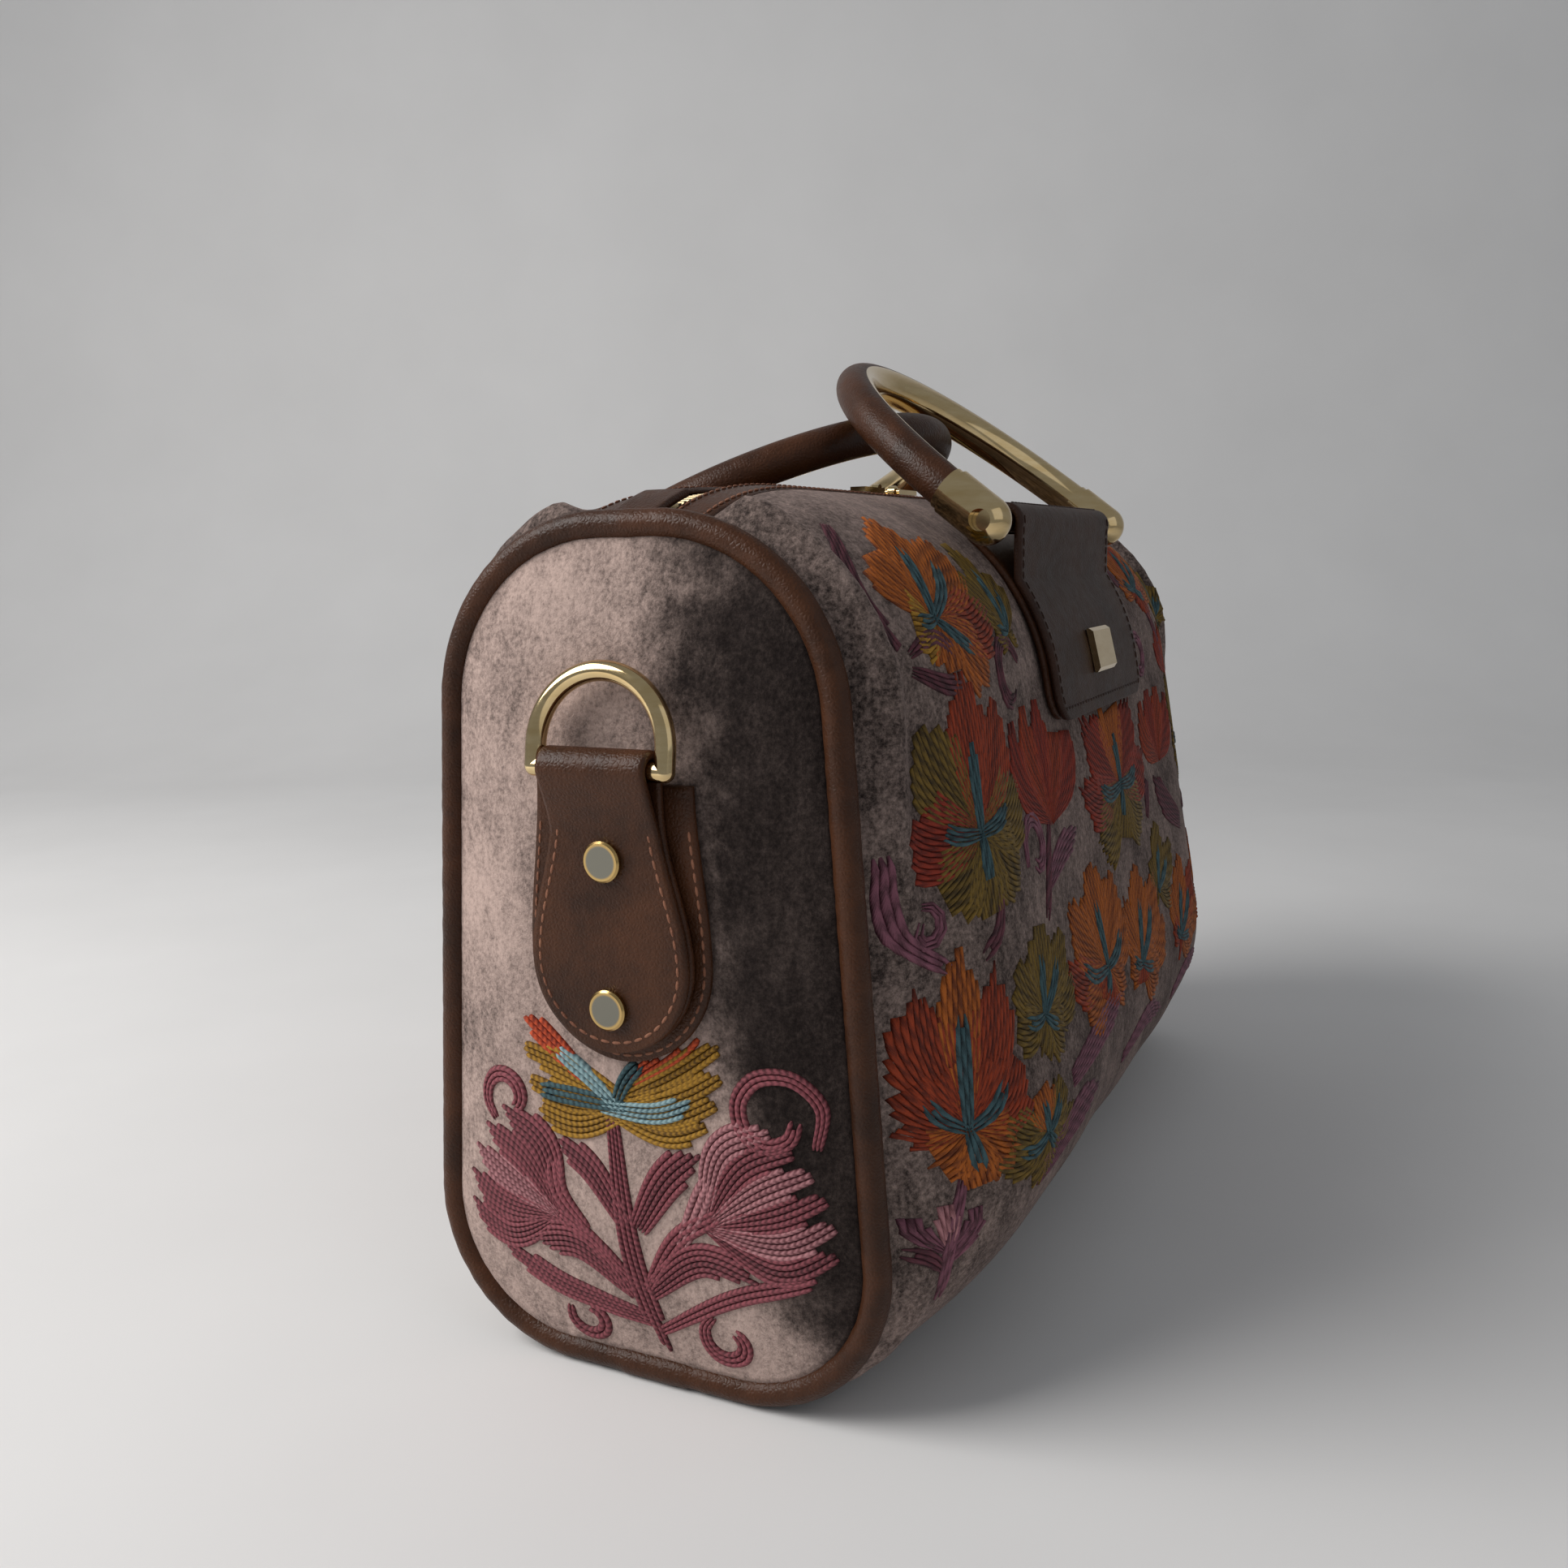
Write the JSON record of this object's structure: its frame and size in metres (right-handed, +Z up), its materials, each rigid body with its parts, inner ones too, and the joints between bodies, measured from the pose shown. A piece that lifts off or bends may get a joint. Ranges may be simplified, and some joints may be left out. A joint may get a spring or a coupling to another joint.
{
  "type": "handbag",
  "caption": "structured velvet travel handbag with domed ends, zip top, two arched handles on folded leather tabs and a swinging ring at each end",
  "frame": {"origin": "centre of the flat base, on the surface the bag stands on", "axes": "+X along the bag's length towards the right end, -Y out of the front panel with the metal plate, +Z up"},
  "size_m": [0.3682, 0.1784, 0.2721],
  "materials": {
    "board": "matt stiffening board",
    "gold_metal": "polished pale gold plate",
    "leather": "smooth brown leather, satin",
    "lining_cloth": "plain woven lining",
    "thread_mustard": "wool chain stitch",
    "thread_orange": "wool chain stitch",
    "thread_plum": "wool chain stitch",
    "thread_rose": "wool chain stitch",
    "thread_rust": "wool chain stitch",
    "thread_teal": "wool chain stitch",
    "velvet": "taupe velvet pile",
    "zip_cloth": "woven black tape",
    "zip_teeth": "satin black teeth"
  },
  "bodies": {
    "bag": {"front_panel": "velvet", "back_panel": "velvet", "base_panel": "leather", "left_end_panel": "velvet", "right_end_panel": "velvet", "left_piping": "leather", "right_piping": "leather", "lining": "lining_cloth", "base_board": "board", "front_zip_facing": "leather", "back_zip_facing": "leather", "zip_tape": "zip_cloth", "zip_chain": "zip_teeth", "left_zip_stop": "leather", "right_zip_stop": "leather", "front_handle_tab": "leather", "back_handle_tab": "leather", "front_tab_backing": "leather", "back_tab_backing": "leather", "front_plate": "gold_metal", "left_ring_strap": "leather", "right_ring_strap": "leather", "left_strap_patch": "leather", "right_strap_patch": "leather", "left_rivets": "gold_metal", "right_rivets": "gold_metal", "front_embroidery_rust": "thread_rust", "front_embroidery_orange": "thread_orange", "front_embroidery_mustard": "thread_mustard", "front_embroidery_plum": "thread_plum", "back_embroidery_rust": "thread_rust", "back_embroidery_orange": "thread_orange", "back_embroidery_mustard": "thread_mustard", "back_embroidery_plum": "thread_plum", "left_embroidery_teal": "thread_teal", "left_embroidery_orange": "thread_orange", "left_embroidery_mustard": "thread_mustard", "left_embroidery_rose": "thread_rose", "right_embroidery_teal": "thread_teal", "right_embroidery_orange": "thread_orange", "right_embroidery_mustard": "thread_mustard", "right_embroidery_rose": "thread_rose"},
    "front_handle": {"front_handle_core": "gold_metal", "front_handle_leather": "leather", "front_ferrules": "gold_metal", "front_handle_bar": "gold_metal"},
    "back_handle": {"back_handle_core": "gold_metal", "back_handle_leather": "leather", "back_ferrules": "gold_metal", "back_handle_bar": "gold_metal"},
    "left_slider": {"left_slider": "gold_metal"},
    "right_slider": {"right_slider": "gold_metal"},
    "left_pull": {"left_pull": "gold_metal"},
    "right_pull": {"right_pull": "gold_metal"},
    "left_ring": {"left_d_ring": "gold_metal"},
    "right_ring": {"right_d_ring": "gold_metal"}
  },
  "joints": [
    {"name": "front_handle_swing", "type": "hinge", "parent": "bag", "child": "front_handle", "pos_m": [0, -0.05777, 0.21868], "axis": [1, 0, 0], "range_deg": [0, 190]},
    {"name": "back_handle_swing", "type": "hinge", "parent": "bag", "child": "back_handle", "pos_m": [0, 0.05777, 0.21868], "axis": [-1, 0, 0], "range_deg": [0, 152]},
    {"name": "left_slider_run", "type": "slide", "parent": "bag", "child": "left_slider", "axis": [-1, 0, 0], "range_m": [0, 0.078]},
    {"name": "right_slider_run", "type": "slide", "parent": "bag", "child": "right_slider", "axis": [1, 0, 0], "range_m": [0, 0.078]},
    {"name": "left_pull_lift", "type": "hinge", "parent": "left_slider", "child": "left_pull", "pos_m": [-0.0073, 0, 0.2309], "axis": [0, 1, 0], "range_deg": [0, 90]},
    {"name": "right_pull_lift", "type": "hinge", "parent": "right_slider", "child": "right_pull", "pos_m": [0.0073, 0, 0.2309], "axis": [0, -1, 0], "range_deg": [0, 90]},
    {"name": "left_ring_swing", "type": "hinge", "parent": "bag", "child": "left_ring", "pos_m": [-0.1791, 0, 0.162], "axis": [0, -1, 0], "range_deg": [0, 150]},
    {"name": "right_ring_swing", "type": "hinge", "parent": "bag", "child": "right_ring", "pos_m": [0.1791, 0, 0.162], "axis": [0, 1, 0], "range_deg": [0, 150]}
  ],
  "couplings": [
    {"joint": "back_handle_swing", "follows": "front_handle_swing", "ratio": 0.8}
  ]
}
